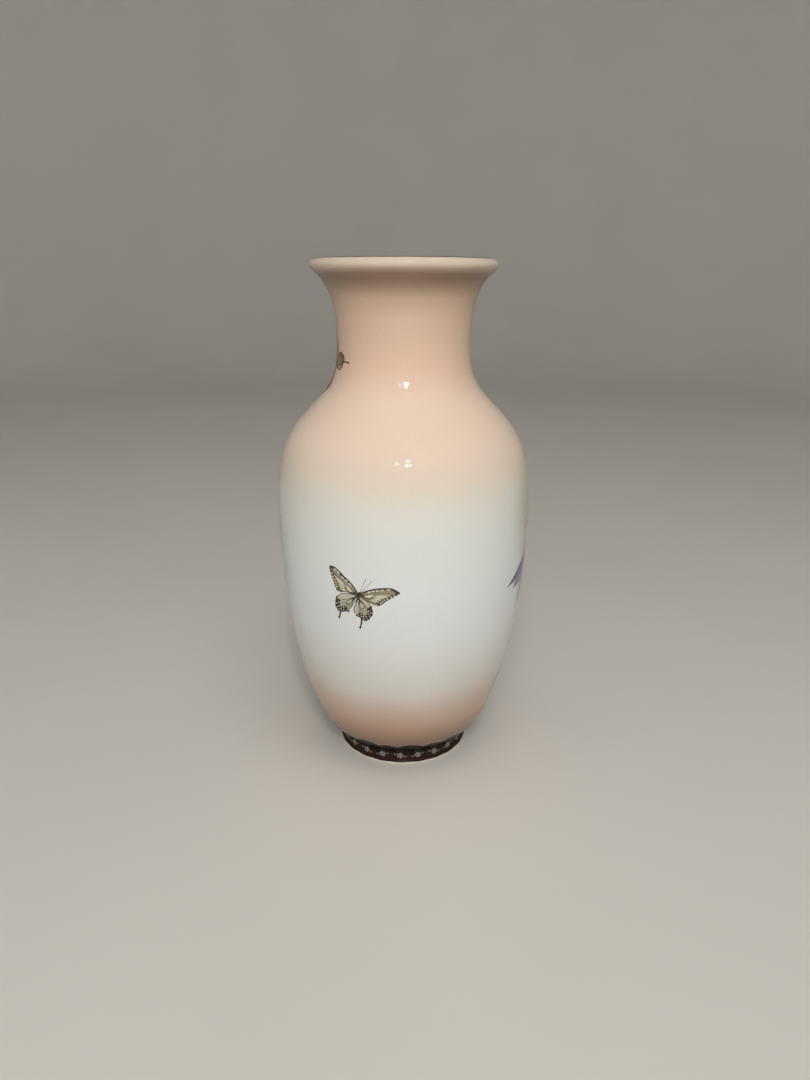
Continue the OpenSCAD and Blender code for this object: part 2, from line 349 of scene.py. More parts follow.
def glazeMaterial(name, ramp, hazes):
    material, tree = startMaterial(name)
    place = addNode(tree, "TexCoord").outputs["Object"]
    height = addNode(tree, "SeparateXYZ", {0: place}).outputs[2]
    cloud = addNode(tree, "TexNoise", {"Vector": place, "Scale": 1 / blushAndShade["driftSize"], "Detail": 2.0})
    drift = addNode(tree, "MapRange", {0: cloud.outputs[0], 3: -blushAndShade["drift"], 4: blushAndShade["drift"]})
    # the blush was sprayed on a turning wheel: even at the foot and the lip, looser between them
    upright = addNode(tree, "Math", {0: height, 1: vaseHeight}, operation="DIVIDE")
    loose = addNode(tree, "ValToRGB", {0: upright.outputs[0]},
                    [(0.03, "#000000"), (0.2, "#ffffff"), (0.8, "#ffffff"), (0.92, "#0c0c0c")])
    moved = addNode(tree, "Math", {0: drift.outputs[0], 1: loose.outputs[0], 2: height},
                    operation="MULTIPLY_ADD")
    share = addNode(tree, "Math", {0: moved.outputs[0], 1: vaseHeight}, operation="DIVIDE")
    colour = addNode(tree, "ValToRGB", {0: share.outputs[0]}, ramp).outputs[0]
    grain = addNode(tree, "TexNoise", {"Vector": place, "Scale": 1 / blushAndShade["grainSize"], "Detail": 2.0})
    for angle, z, reach, code, strength in hazes:
        gap = addNode(tree, "VectorMath", {0: place, 1: onWall(angle, z * mm, 0)}, operation="DISTANCE")
        near = addNode(tree, "MapRange", {0: gap.outputs[1], 1: reach * mm, 2: reach * 0.25 * mm,
                                          4: strength}, interpolation_type="SMOOTHSTEP")
        speck = addNode(tree, "MapRange", {0: grain.outputs[0], 1: 0.3, 2: 0.7, 3: 0.86, 4: 1.1})
        spray = addNode(tree, "Math", {0: near.outputs[0], 1: speck.outputs[0]}, operation="MULTIPLY")
        tinted = addNode(tree, "Mix", {0: spray.outputs[0], 6: colour, 7: code}, data_type="RGBA")
        colour = tinted.outputs[2]
    faint = addNode(tree, "MapRange", {0: grain.outputs[0], 1: 0.35, 2: 0.65, 3: 0.985, 4: 1.01})
    colour = addNode(tree, "VectorMath", {0: colour, 3: faint.outputs[0]}, operation="SCALE").outputs[0]
    wave = addNode(tree, "TexNoise", {"Vector": place, "Scale": 1 / glazeSkin["waveSize"], "Detail": 1.0})
    peel = addNode(tree, "TexNoise", {"Vector": place, "Scale": 1 / glazeSkin["peelSize"], "Detail": 1.0})
    rolls = addNode(tree, "Bump", {"Height": wave.outputs[0], "Strength": 0.3,
                                   "Distance": glazeSkin["waveDepth"]})
    skin = addNode(tree, "Bump", {"Height": peel.outputs[0], "Strength": 0.25,
                                  "Distance": glazeSkin["peelDepth"], "Normal": rolls.outputs[0]})
    wet = addNode(tree, "MapRange", {0: cloud.outputs[0], 3: 0.03, 4: 0.06})
    finishMaterial(tree, {"Base Color": colour, "Roughness": wet.outputs[0], "IOR": 1.52,
                          "Subsurface Weight": 0.12, "Subsurface Scale": 2 * mm,
                          "Subsurface Radius": (1.0, 0.7, 0.5), "Normal": skin.outputs[0]})
    return material


glazedPorcelain = glazeMaterial("glazedPorcelain", blushAndShade["ramp"], blushAndShade["hazes"])
# the clear glaze inside lets the white clay through; only overspray from the lip warms it
clearGlaze = glazeMaterial("clearGlazedPorcelain", [(0.0, "#e2e0d8"), (0.6, "#e6e3da"), (0.86, "#e8dccc"),
                                                    (0.95, "#e6cdb8"), (1.0, "#e8d8c6")], [])

# Biscuit porcelain: fired clay with no glaze, dry and chalky, worn a little grey where it stands
biscuitPorcelain, tree = startMaterial("biscuitPorcelain")
place = addNode(tree, "TexCoord").outputs["Object"]
height = addNode(tree, "SeparateXYZ", {0: place}).outputs[2]
grit = addNode(tree, "TexNoise", {"Vector": place, "Scale": 1 / (0.25 * mm), "Detail": 4.0})
smear = addNode(tree, "TexNoise", {"Vector": place, "Scale": 1 / (7 * mm), "Detail": 3.0})
low = addNode(tree, "MapRange", {0: height, 1: 0.5 * mm, 2: 0.0, 3: 0.0, 4: 0.6})
worn = addNode(tree, "Math", {0: low.outputs[0], 1: smear.outputs[0]}, operation="MULTIPLY")
clay = addNode(tree, "ValToRGB", {0: grit.outputs[0]}, [(0.3, "#d9d3c8"), (0.7, "#e6e1d8")])
colour = addNode(tree, "Mix", {0: worn.outputs[0], 6: clay.outputs[0], 7: "#8f877b"}, data_type="RGBA")
bump = addNode(tree, "Bump", {"Height": grit.outputs[0], "Strength": 0.4, "Distance": 0.03 * mm})
finishMaterial(tree, {"Base Color": colour.outputs[2], "Roughness": 0.82, "IOR": 1.5,
                      "Normal": bump.outputs[0]})

# Burnished gold: a brushed-on bright line fired once, thin and brown where the brush lifted
burnishedGold, tree = startMaterial("burnishedGold")
place = addNode(tree, "TexCoord").outputs["Object"]
patches = addNode(tree, "TexNoise", {"Vector": place, "Scale": 1 / (5 * mm), "Detail": 3.0})
streaks = addNode(tree, "TexNoise", {"Vector": place, "Scale": 1 / (0.5 * mm), "Detail": 2.0})
colour = addNode(tree, "ValToRGB", {0: patches.outputs[0]},
                 [(0.35, "#5f3f1c"), (0.5, "#8a6126"), (0.68, "#b98a3c")])
rough = addNode(tree, "MapRange", {0: streaks.outputs[0], 3: 0.18, 4: 0.42})
bump = addNode(tree, "Bump", {"Height": streaks.outputs[0], "Strength": 0.3, "Distance": 0.02 * mm})
finishMaterial(tree, {"Base Color": colour.outputs[0], "Metallic": 1.0, "Roughness": rough.outputs[0],
                      "Normal": bump.outputs[0]})

# The vase itself: two coats on the biscuit body

for node, material in (("porcelain_body", biscuitPorcelain), ("foot_recess_glaze", clearGlaze)):
    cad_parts[node].data.materials.clear()
    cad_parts[node].data.materials.append(material)


def pushedIn(line, depth):
    # the same line moved off its right-hand side, which is the clay side when it runs upwards
    moved = []
    for i, (r, z) in enumerate(line):
        (r0, z0), (r1, z1) = line[max(i - 1, 0)], line[min(i + 1, len(line) - 1)]
        long = math.hypot(r1 - r0, z1 - z0)
        moved.append((max(r - depth * (z1 - z0) / long, 0), z + depth * (r1 - r0) / long))
    return moved


underside = pushedIn(outerRings, glazeDepth)
outerCoat = turned("outerGlazeCoat", wallLine + underside[::-1], glazedPorcelain)
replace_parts(outerCoat, "outer_glaze")
innerLine = smoothLine(innerRings, 3)
innerUnder = pushedIn(innerRings, -glazeDepth)
innerUnder[0] = (0, innerRings[0][1] - glazeDepth)
innerCoat = turned("innerGlazeCoat", innerLine[::-1] + innerUnder, clearGlaze)
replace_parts(innerCoat, "inner_glaze")

filmSink = 0.03    # every film reaches this far into the glaze, in millimetres
rollRadius = max(r for r, z in outerRings if z > 0.95 * vaseHeight) - outerRings[-1][0]
goldLine = {"from": 64.0, "to": 120.0, "waver": 1.6,    # degrees round the roll of the lip
            "lift": 0.045 * mm, "across": 9, "segments": 384}


def addGoldLine():
    # a hand-banded line on the crown of the lip, a little uneven at both edges
    points, faces, across, count = [], [], goldLine["across"], goldLine["segments"]
    centreR, centreZ = outerRings[-1][0], vaseHeight - rollRadius
    for k in range(count):
        turn = 2 * math.pi * k / count
        edges = [goldLine[side] + goldLine["waver"] * (0.5 * math.sin(5 * turn + shift)
                 + 0.3 * math.sin(17 * turn + 2 * shift) + 0.2 * math.sin(41 * turn + shift))
                 for side, shift in (("from", 0.4), ("to", 2.1))]
        for lift, order in ((goldLine["lift"], range(across)),
                            (-filmSink * mm, range(across - 1, -1, -1))):
            for i in order:
                a = math.radians(edges[0] + (edges[1] - edges[0]) * i / (across - 1))
                r = centreR + (rollRadius + lift) * math.cos(a)
                points.append((r * math.sin(turn), -r * math.cos(turn),
                               centreZ + (rollRadius + lift) * math.sin(a)))
    ring = 2 * across
    for k in range(count):
        n = (k + 1) % count
        for i in range(ring):
            j = (i + 1) % ring
            faces.append((k * ring + i, n * ring + i, n * ring + j, k * ring + j))
    return makePiece("goldLipLine", points, faces, burnishedGold)


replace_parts(addGoldLine(), "lip_gilding")
print("body, glazes and gold line are made")


# Prints: thin fired films that lie on the wall. Their patches are drawn flat, in
# millimetres along and up the wall, and layOn() wraps them round it.

def marked(points, faces, **more):
    return {"points": points, "faces": faces, **more}


def filledPatch(outline, step, **more):
    # a closed outline filled with small triangles, so that it can bend
    count = len(outline)
    sides = list(zip(outline, outline[1:] + outline[:1]))
    low, high = ([f(p[k] for p in outline) for k in (0, 1)] for f in (min, max))
    inner = []
    for row in range(int((high[1] - low[1]) / (0.87 * step)) + 1):
        y = low[1] + (row + 0.5) * 0.87 * step
        for column in range(int((high[0] - low[0]) / step) + 1):
            x = low[0] + (column + 0.5 * (row % 2)) * step
            crossed = sum((a[1] > y) != (b[1] > y)
                          and x < a[0] + (y - a[1]) / (b[1] - a[1]) * (b[0] - a[0]) for a, b in sides)
            if crossed % 2 and min(math.dist((x, y), p) for p in outline) > 0.5 * step:
                inner.append((x, y))
    edges = [(i, (i + 1) % count) for i in range(count)]
    cut = delaunay_2d_cdt([Vector(p) for p in outline + inner], edges, [], 1, 1e-5)
    return marked([tuple(p) for p in cut[0]], [tuple(f) for f in cut[2]], **more)


def stroke(path, wide, narrow, steps, **more):
    # a brush line that goes from one width to another, with a point at each end
    line = smoothLine(path, steps)
    points, faces, last = [], [], len(line) - 1
    for i, (x, y) in enumerate(line):
        (x0, y0), (x1, y1) = line[max(i - 1, 0)], line[min(i + 1, last)]
        long, half = math.dist((x0, y0), (x1, y1)), (wide + (narrow - wide) * i / last) / 2
        dx, dy = (x1 - x0) / long * half, (y1 - y0) / long * half
        if i == 0:
            points.append((x - dx, y - dy))
        points += [(x - dy, y + dx), (x + dy, y - dx)]
        if i == last:
            points.append((x + dx, y + dy))
    faces.append((0, 2, 1))
    faces += [(2 * i + 1, 2 * i + 2, 2 * i + 4, 2 * i + 3) for i in range(last)]
    faces.append((2 * last + 1, 2 * last + 2, 2 * last + 3))
    return marked(points, faces, **more)


def spot(x, y, long, wide, turn=0, sides=10, **more):
    # an oval dot, its long axis turned from level
    turn = math.radians(turn)
    points = [(x, y)]
    for k in range(sides):
        a = 2 * math.pi * k / sides
        u, v = long / 2 * math.cos(a), wide / 2 * math.sin(a)
        points.append((x + u * math.cos(turn) - v * math.sin(turn),
                       y + u * math.sin(turn) + v * math.cos(turn)))
    return marked(points, [(0, 1 + k, 1 + (k + 1) % sides) for k in range(sides)], **more)


def bladePoint(blade, t, s):
    # a place on a petal or leaf: t runs from its root to its tip and s from edge to edge
    half = max(blade["wide"] / 2 * math.sin(math.pi * t ** blade["bulge"]), 0.06)
    half *= 1 + 0.035 * math.sin(9 * t + 3 * blade["turn"])
    x, y, a = blade["long"] * t, half * s, math.radians(blade["turn"])
    return (x * math.cos(a) - y * math.sin(a), blade["up"] + x * math.sin(a) + y * math.cos(a))


def bladePatch(blade, rows=22, columns=8, **more):
    ts = [i / rows for i in range(rows + 1)]
    ss = [-1 + 2 * j / columns for j in range(columns + 1)]
    points = [bladePoint(blade, t, s) for t in ts for s in ss]
    wide = columns + 1
    faces = [(i * wide + j, (i + 1) * wide + j, (i + 1) * wide + j + 1, i * wide + j + 1)
             for i in range(rows) for j in range(columns)]
    return marked(points, faces, along=[t for t in ts for s in ss],
                  across=[s for t in ts for s in ss], **more)


def bladeLine(blade, s, start, end, wide, narrow, **more):
    path = [bladePoint(blade, start + (end - start) * i / 8, s) for i in range(9)]
    return stroke(path, wide, narrow, 2, **more)


def layOn(name, patches, place, lift, material, turn=0, size=1):
    # place is (degrees round from the front, millimetres up); lift is in millimetres
    points, faces, marks = [], [], {"along": [], "across": [], "tone": []}
    c, s = math.cos(math.radians(turn)) * size, math.sin(math.radians(turn)) * size
    for patch in patches:
        base, count = len(points), len(patch["points"])
        for height in (lift + patch.get("lift", 0), -filmSink):
            for x, y in patch["points"]:
                x, y = x * c - y * s, x * s + y * c
                z = (place[1] + y) * mm
                angle = place[0] + patch.get("at", 0) + math.degrees(x * mm / wallRadius(z))
                points.append(onWall(angle, z, height * mm))
            for mark in marks:
                held = patch.get(mark, 0)
                marks[mark] += held if isinstance(held, list) else [held] * count
        edges = []
        for face in patch["faces"]:
            ring = [patch["points"][i] for i in face]
            area = sum(a[0] * b[1] - a[1] * b[0] for a, b in zip(ring, ring[1:] + ring[:1]))
            face = face if area > 0 else face[::-1]
            faces.append([base + i for i in face])
            faces.append([base + count + i for i in face[::-1]])
            edges += zip(face, face[1:] + face[:1])
        rims = set(edges)
        faces += [(base + b, base + a, base + count + a, base + count + b)
                  for a, b in edges if (b, a) not in rims]
    return makePiece(name, points, faces, material, marks)


# Fired print colour: enamel painted or printed on the glaze and fired into it, so it keeps
# the same wet shine and only breaks up a little where the ink lies thin
def printMaterial(name, colours, streaks=None, mottle=0.35 * mm, thin=0.12, rough=0.12):
    # colours is a ramp over "tone", or over "along" where streaks run the length of a petal
    material, tree = startMaterial(name)
    place = addNode(tree, "TexCoord").outputs["Object"]
    tone = addNode(tree, "Attribute", attribute_name="tone").outputs["Fac"]
    along = addNode(tree, "Attribute", attribute_name="along").outputs["Fac"]
    across = addNode(tree, "Attribute", attribute_name="across").outputs["Fac"]
    ink = addNode(tree, "TexNoise", {"Vector": place, "Scale": 1 / mottle, "Detail": 3.0}).outputs[0]
    if streaks:
        cloud = addNode(tree, "TexNoise", {"Vector": place, "Scale": 1 / (6 * mm), "Detail": 1.0})
        shift = addNode(tree, "MapRange", {0: cloud.outputs[0], 3: -0.12, 4: 0.12})
        where = addNode(tree, "Math", {0: along, 1: shift.outputs[0]}, operation="ADD")
        shade = addNode(tree, "ValToRGB", {0: where.outputs[0]}, colours)
        toned = addNode(tree, "Mix", {0: tone, 6: shade.outputs[0], 7: streaks["deep"]}, data_type="RGBA")
        spread = addNode(tree, "Math", {0: across, 1: streaks["count"]}, operation="MULTIPLY")
        lines = addNode(tree, "CombineXYZ", {0: spread.outputs[0], 1: along, 2: tone})
        fibre = addNode(tree, "TexNoise", {"Vector": lines.outputs[0], "Scale": 1.6, "Detail": 3.0})
        fade = addNode(tree, "MapRange", {0: fibre.outputs[0], 1: 0.35, 2: 0.7, 3: 0.0, 4: 0.55})
        lined = addNode(tree, "Mix", {0: fade.outputs[0], 6: toned.outputs[2], 7: streaks["pale"]},
                        data_type="RGBA")
        side = addNode(tree, "Math", {0: across}, operation="ABSOLUTE")
        rim = addNode(tree, "MapRange", {0: side.outputs[0], 1: 0.72, 2: 1.0, 3: 0.0, 4: streaks["rim"]})
        rimmed = addNode(tree, "Mix", {0: rim.outputs[0], 6: lined.outputs[2], 7: streaks["edge"]},
                         data_type="RGBA")
        colour = rimmed.outputs[2]
    else:
        colour = addNode(tree, "ValToRGB", {0: tone}, colours).outputs[0]
    even = addNode(tree, "MapRange", {0: ink, 1: 0.3, 2: 0.7, 3: 1 - thin, 4: 1 + thin})
    colour = addNode(tree, "VectorMath", {0: colour, 3: even.outputs[0]}, operation="SCALE").outputs[0]
    dull = addNode(tree, "MapRange", {0: ink, 3: rough * 0.7, 4: rough * 1.4})
    finishMaterial(tree, {"Base Color": colour, "Roughness": dull.outputs[0], "IOR": 1.5})
    return material


# The butterflies

# cream and olive enamel, thinly printed: the greyish ground of the wings
membranePrint = printMaterial("creamEnamelPrint",
                              [(0.0, "#c3c1ad"), (0.5, "#9c9b84"), (1.0, "#807f60")], thin=0.2)
# black-brown line enamel: black veins, slate tips, grey feelers and a maroon border
inkPrint = printMaterial("blackBrownEnamelPrint", [(0.0, "#26201a"), (0.4, "#3b3d38"), (0.7, "#6d6c66"),
                                                   (1.0, "#40261e")], thin=0.2)
# pale opaque enamel, dotted on last: the beads and panels stand out clean
dotPrint = printMaterial("paleEnamelPrint", [(0.0, "#e6e0cc"), (1.0, "#c3bfa4")], thin=0.05)
# the one on the neck is drawn in two browns, a warm film under a darker line, warmer and darker than the one
# on the front
brownFilm = printMaterial("brownEnamelPrint", [(0.0, "#a58d66"), (1.0, "#876b42")], thin=0.16)
brownInk = printMaterial("darkBrownEnamelPrint", [(0.0, "#4a3720"), (1.0, "#6f5530")], thin=0.2)

butterfly = {
    "place": (-18.9, 101.5),    # degrees round, millimetres up; the rest is in millimetres
    "wings": [
        # left fore wing: held high, with a dark leading edge and a chain of pale lozenges
        {"lead": [(-0.2, 0.9), (-1.9, 3.8), (-3.9, 6.2), (-6.5, 8.3), (-9.4, 10.7), (-11.9, 11.9),
                  (-13.9, 11.8)],
         "outer": [(-13.8, 10.0), (-13.0, 7.4), (-12.1, 5.0), (-11.4, 2.8), (-10.4, 0.5)],
         "trail": [(-8.8, 0.2), (-6.0, 0.8), (-3.1, 0.3), (-0.5, -0.3)],
         "root": (-0.5, 0.4), "veins": 7, "band": 0, "margin": 1.9, "tone": 0.65, "slate": (0.5, 1.0, 1.5),
         "cell": [0.3, 0.44, 0.6]},
        # right fore wing: seen flatter, with a slate tip and an olive rear edge
        {"lead": [(0.6, 0.9), (3.1, 2.3), (5.3, 3.3), (8.0, 4.2), (11.1, 4.6), (15.4, 4.5), (18.5, 2.6)],
         "outer": [(17.4, 1.8), (15.3, 0.4), (12.7, -1.3), (10.7, -3.0), (9.0, -4.1)],
         "trail": [(7.3, -3.9), (4.6, -2.6), (0.8, -0.5)],
         "root": (0.6, 0.3), "veins": 7, "band": 0, "margin": 1.6, "tone": 0.8, "slate": (0.62, 1.0, 1.3),
         "cell": [0.3, 0.42, 0.56]},
        # left hind wing: a cream disc inside a beaded border
        {"lead": [(-0.6, -0.2), (-5.0, 0.4), (-8.6, -0.4), (-11.0, -2.4)],
         "outer": [(-11.7, -4.7), (-11.6, -7.2), (-10.7, -8.8), (-9.3, -9.3), (-7.4, -8.9), (-4.9, -8.6)],
         "trail": [(-3.5, -6.3), (-1.9, -3.0)],
         "root": (-1.2, -0.8), "veins": 7, "band": 2.5, "margin": 0, "tone": 0.05, "slate": None,
         "cell": [], "tail": [(-9.3, -9.0), (-9.5, -10.6), (-10.1, -12.3)]},
        # right hind wing
        {"lead": [(0.6, -0.6), (2.9, -1.5), (4.6, -2.7), (5.8, -4.5)],
         "outer": [(6.3, -6.9), (5.9, -8.9), (4.7, -10.6), (3.2, -11.9), (1.6, -11.6), (0.2, -10.6),
                   (-1.4, -10.0)],
         "trail": [(-2.6, -8.6), (-2.6, -6.9), (-1.5, -3.9), (-0.3, -1.4)],
         "root": (0.2, -1.4), "veins": 7, "band": 2.4, "margin": 0, "tone": 0.1, "slate": None,
         "cell": [], "tail": [(1.0, -11.0), (0.8, -13.2), (0.1, -15.7)]}],
    "body": [(0.9, 1.9), (1.35, 1.2), (1.05, 0.0), (0.2, -1.6), (-0.9, -3.2), (-1.6, -3.9), (-1.5, -3.0),
             (-1.0, -1.4), (-0.6, 0.2), (0.1, 1.5)],
    "feelers": [[(0.9, 1.7), (2.1, 4.6), (3.5, 7.8)], [(1.1, 1.6), (3.6, 4.2), (5.9, 7.1)]],
}


# strokes of ink: the width where one starts and where it ends, its tone on the ink's ramp
# (0 is black, 0.4 slate, 0.7 grey, 1 maroon) and its lift over the others
pens = {
    "heavyLead": (0.75, 0.35, 0.35, 0), "lightLead": (0.3, 0.4, 0.7, 0),
    "outer": (0.4, 0.4, 0.1, 0.002), "trail": (0.36, 0.36, 0.2, 0.004),
    "margin": (0.34, 0.3, 0.1, 0.006), "border": (0.45, 0.45, 0.0, 0.003),
    "vein": (0.22, 0.34, 0.15, 0.008), "veinEnd": (0.42, 0.8, 0.1, 0.0155),
    "cellEnd": (0.28, 0.28, 0.15, 0.016), "cellRim": (0.34, 0.26, 0.15, 0.0165),
    "cellSide": (0.4, 0.26, 0.15, 0.0165), "shade": (0.8, 0.1, 0.25, 0.017),
    "bar": (0.6, 0.3, 0.2, 0.0175), "tail": (0.8, 0.6, 0.0, 0.01), "feeler": (0.2, 0.15, 0.7, 0.014),
}
# spots: a row behind the leading edge, two rows of beads as (depth, size, shift along the row),
# the gap between beads, and the width of the dark ones on the edge
spots = {"leadDepth": 1.25, "leadSize": (1.7, 0.62), "leadShares": (0.23, 0.37, 0.52, 0.68, 0.8),
         "beadRows": ((0.75, 0.62, 0.25), (1.75, 0.72, -0.25)), "beadGap": 1.65, "scallop": 0.8}


def inset(path, depth, centre):
    # a path moved towards a centre
    return [(x + (centre[0] - x) * depth / math.dist((x, y), centre),
             y + (centre[1] - y) * depth / math.dist((x, y), centre)) for x, y in path]


def alongPath(path, share):
    # a point part of the way along, by the count of its points
    place = share * (len(path) - 1)
    i = min(int(place), len(path) - 2)
    t = place - i
    return tuple(path[i][k] + (path[i + 1][k] - path[i][k]) * t for k in (0, 1))


def leanOf(a, b):
    # the direction from one point to another, in degrees from level
    return math.degrees(math.atan2(b[1] - a[1], b[0] - a[0]))


def penned(pen, path, steps=1, over=0):
    wide, narrow, tone, lift = pens[pen]
    return stroke(path, wide, narrow, steps, tone=tone, lift=lift + over)


def wingEdges(wing, lead, outer, trail, centre):
    # outlines: heaviest at the front of the wing, then the border, then the rear edge
    band, margin = wing["band"], wing["margin"]
    front = ("lightLead", 0.2) if band else ("heavyLead", 0.3)
    inks = [penned(front[0], inset(lead, front[1], centre)), penned("outer", inset(outer, 0.2, centre)),
            penned("trail", inset(trail, 0.18, centre))]
    if wing["slate"]:
        start, end, wide = wing["slate"]
        edge = inset(lead[int(start * len(lead)):int(end * len(lead))], wide * 0.5, centre)
        inks.append(stroke(edge, wide * 0.5, wide, 1, tone=0.4, lift=0.001))
    if margin:
        inks.append(penned("margin", inset(outer, margin, centre)))
    if band:
        # three strokes side by side, because one wide one would cut across the curve of the wall
        for row in (1, 3, 5):
            inks.append(stroke(inset(outer, band * row / 6, centre), band * 0.3, band * 0.38, 1,
                               tone=1.0, lift=0.001))
        inks.append(penned("border", inset(outer, 0.25, centre)))
    return inks


def wingVeins(wing, lead, outer, centre):
    # veins run from the end of a closed cell to the border, and bow a little outwards
    root, count, margin = Vector(wing["root"]), wing["veins"], wing["margin"]
    inks, ends, starts = [], [], []
    for i in range(count):
        ends.append(Vector(alongPath(inset(outer, 0.35, centre), (i + 0.5) / count)))
        starts.append(root + (ends[i] - root) * (0.4 + 0.08 * math.sin(math.pi * i / (count - 1))))
    for i, (start, end) in enumerate(zip(starts, ends)):
        bow = Vector((start.y - end.y, end.x - start.x)) * 0.1 * ((i + 0.5) / count - 0.5)
        inks.append(penned("vein", [start, (start + end) / 2 + bow, end], 8, 0.001 * i))
        if margin:
            inks.append(penned("veinEnd", [end + (start - end).normalized() * margin, end], 3))
    inks.append(penned("cellEnd", starts[1:-1], 3))
    for i, pen in ((0, "cellRim"), (1, "cellSide"), (count - 2, "cellSide"), (count - 1, "cellRim")):
        inks.append(penned(pen, [root, starts[i]], 6))
    for i, share in ((1, 0.3), (count // 2, 0.26), (count - 2, 0.34)):
        inks.append(penned("shade", [root, root + (starts[i] - root) * share * 2], 5))
    for share in wing["cell"]:
        high = Vector(alongPath(lead, share))
        inward = (Vector(centre) - high).normalized()
        inks.append(penned("bar", [high + inward * 0.4, high + inward * 2.0], 4))
    return inks, starts, ends


def foreWingDots(wing, lead, outer, centre, starts, ends):
    # pale panels between the veins, lozenges in the margin and behind the leading edge
    dots, count, margin, root = [], wing["veins"], wing["margin"], Vector(wing["root"])
    rim, front = inset(outer, margin * 0.52, centre), inset(lead, spots["leadDepth"], centre)
    for i in range(count - 1):
        low, high = (starts[i] + starts[i + 1]) / 2, (ends[i] + ends[i + 1]) / 2
        way, gap = high - low, ((starts[i] - starts[i + 1]).length + (ends[i] - ends[i + 1]).length) / 2
        room = way.length - margin - 0.5
        x, y = low + way.normalized() * (0.4 + room / 2)
        dots.append(spot(x, y, room, gap * 0.5, leanOf((0, 0), way), 12, tone=0.25 * (i % 3)))
        here, there = alongPath(rim, (i + 1) / count), alongPath(rim, (i + 1.3) / count)
        long = math.dist(here, there) * 1.9
        dots.append(spot(*here, long, margin * 0.44, leanOf(here, there), 8, tone=0.3))
    for share in spots["leadShares"]:
        here, there = alongPath(front, share), alongPath(front, share + 0.05)
        dots.append(spot(*here, *spots["leadSize"], leanOf(here, there), 10, tone=0.5 * share))
    # two long pale flashes inside the closed cell
    for aim, share, wide in ((starts[count // 2] - root, 0.62, 0.3), (starts[1] - root, 0.8, 0.2)):
        x, y = root + aim * share
        dots.append(spot(x, y, aim.length * 0.5, aim.length * wide * 0.55, leanOf((0, 0), aim), 12,
                         tone=0.2))
    return dots


def hindWingBeads(outer, centre):
    # two rows of pale beads, and a dark bead on the edge between each two of them
    dots = []
    for depth, size, shift in spots["beadRows"]:
        row = inset(outer, depth, centre)
        beads = int(sum(math.dist(a, b) for a, b in zip(row, row[1:])) / spots["beadGap"])
        for i in range(beads):
            here = alongPath(row, (i + 0.5 + shift) / beads)
            there = alongPath(row, min((i + 0.8 + shift) / beads, 1))
            dots.append(spot(*here, size, size * 0.72, leanOf(here, there), 8, tone=0.2 * (i % 3)))
    edge, wide = inset(outer, 0.12, centre), spots["scallop"]
    inks = [spot(*alongPath(edge, i / beads), wide, wide, 0, 8, tone=1.0, lift=0.0005)
            for i in range(beads + 1)]
    return inks, dots


def wingPatches(wing):
    lead, outer, trail = (smoothLine(wing[k], 4) for k in ("lead", "outer", "trail"))
    outer = [lead[-1]] + outer
    outline = lead + outer[1:] + trail
    centre = tuple(sum(p[k] for p in outline) / len(outline) for k in (0, 1))
    films, dots = [filledPatch(outline, 1.0, tone=wing["tone"])], []
    veins, starts, ends = wingVeins(wing, lead, outer, centre)
    inks = wingEdges(wing, lead, outer, trail, centre) + veins
    if wing["margin"]:
        dots += foreWingDots(wing, lead, outer, centre, starts, ends)
    if wing["band"]:
        edging, beads = hindWingBeads(outer, centre)
        inks += edging
        dots += beads
    if "tail" in wing:
        inks.append(penned("tail", wing["tail"], 4))
        inks.append(spot(*wing["tail"][-1], 1.25, 1.0, 75, tone=0.0, lift=0.012))
    return films, inks, dots


def addButterfly(name, node, spec, prints, turn=0, size=1):
    films, inks, dots = [], [], []
    for wing in spec["wings"]:
        for patches, more in zip((films, inks, dots), wingPatches(wing)):
            patches += more
    inks.append(filledPatch(smoothLine(spec["body"], 3, closed=True), 0.7, lift=0.022, tone=0.1))
    for i in range(3):    # pale rings of the abdomen
        dots.append(spot(-0.35 - 0.35 * i, -1.5 - 0.65 * i, 0.6, 0.14, -30, 8, tone=1, lift=0.008))
    for feeler in spec["feelers"]:
        inks.append(penned("feeler", feeler, 5))
        inks.append(spot(*feeler[-1], 0.75, 0.36, 55, tone=0.35, lift=0.016))
    place, slot = spec["place"], "butterfly_transfer"
    wings = layOn(name + "Wings", films, place, 0.035, prints[0], turn, size)
    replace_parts(wings, node)
    layOn(name + "Ink", inks, place, 0.05, prints[1], turn, size)
    layOn(name + "Dots", dots, place, 0.078, prints[2], turn, size)


addButterfly("frontButterfly", "front_butterfly", butterfly, (membranePrint, inkPrint, dotPrint))
# the one on the neck has its wings half closed, so that one hind wing hides the other; here that hidden wing
# is simply left out
halfClosed = dict(butterfly, place=(-77, 193.8), wings=[butterfly["wings"][i] for i in (0, 1, 3)])
addButterfly("neckButterfly", "neck_butterfly", halfClosed, (brownFilm, brownInk, brownFilm), 100, 0.9)
print("butterflies are laid on")


# The lace band round the foot

lace = {
    "turn": 5.6, "pairs": 11,                    # where the first wide lobe stands, and how many there are
    "low": 1.4, "wave": 0.06, "line": 12.8,      # the lower edge, its waver, and the line the lobes stand on
    "rise": 3.0, "half": 7.2, "small": 0.78,     # a wide lobe's rise and half width, and a small one's share
    "round": 40, "columns": 720, "rows": 24,     # the radius at the lobes, and the mesh of the ground
    "lift": 0.03,
    "netGap": 1.25, "netRound": 36,              # the mesh of the net, and the radius it is counted at
    "netRows": [7.6, 8.55, 9.5, 10.45, 11.4],
    "clear": 4.6,                                # degrees kept free of the net beside a lobe's middle
    "rosetteUp": 4.6, "flowerUp": 4.5, "pinholes": 8, "picots": 13,
}
lacePitch = 360 / lace["pairs"]


def scallops():
    # every lobe of the edge: its angle, half its width and its rise
    for i in range(lace["pairs"]):
        yield lace["turn"] + i * lacePitch, lace["half"], lace["rise"]
        yield lace["turn"] + (i + 0.5) * lacePitch, lace["half"] * lace["small"], lace["rise"] * 0.75


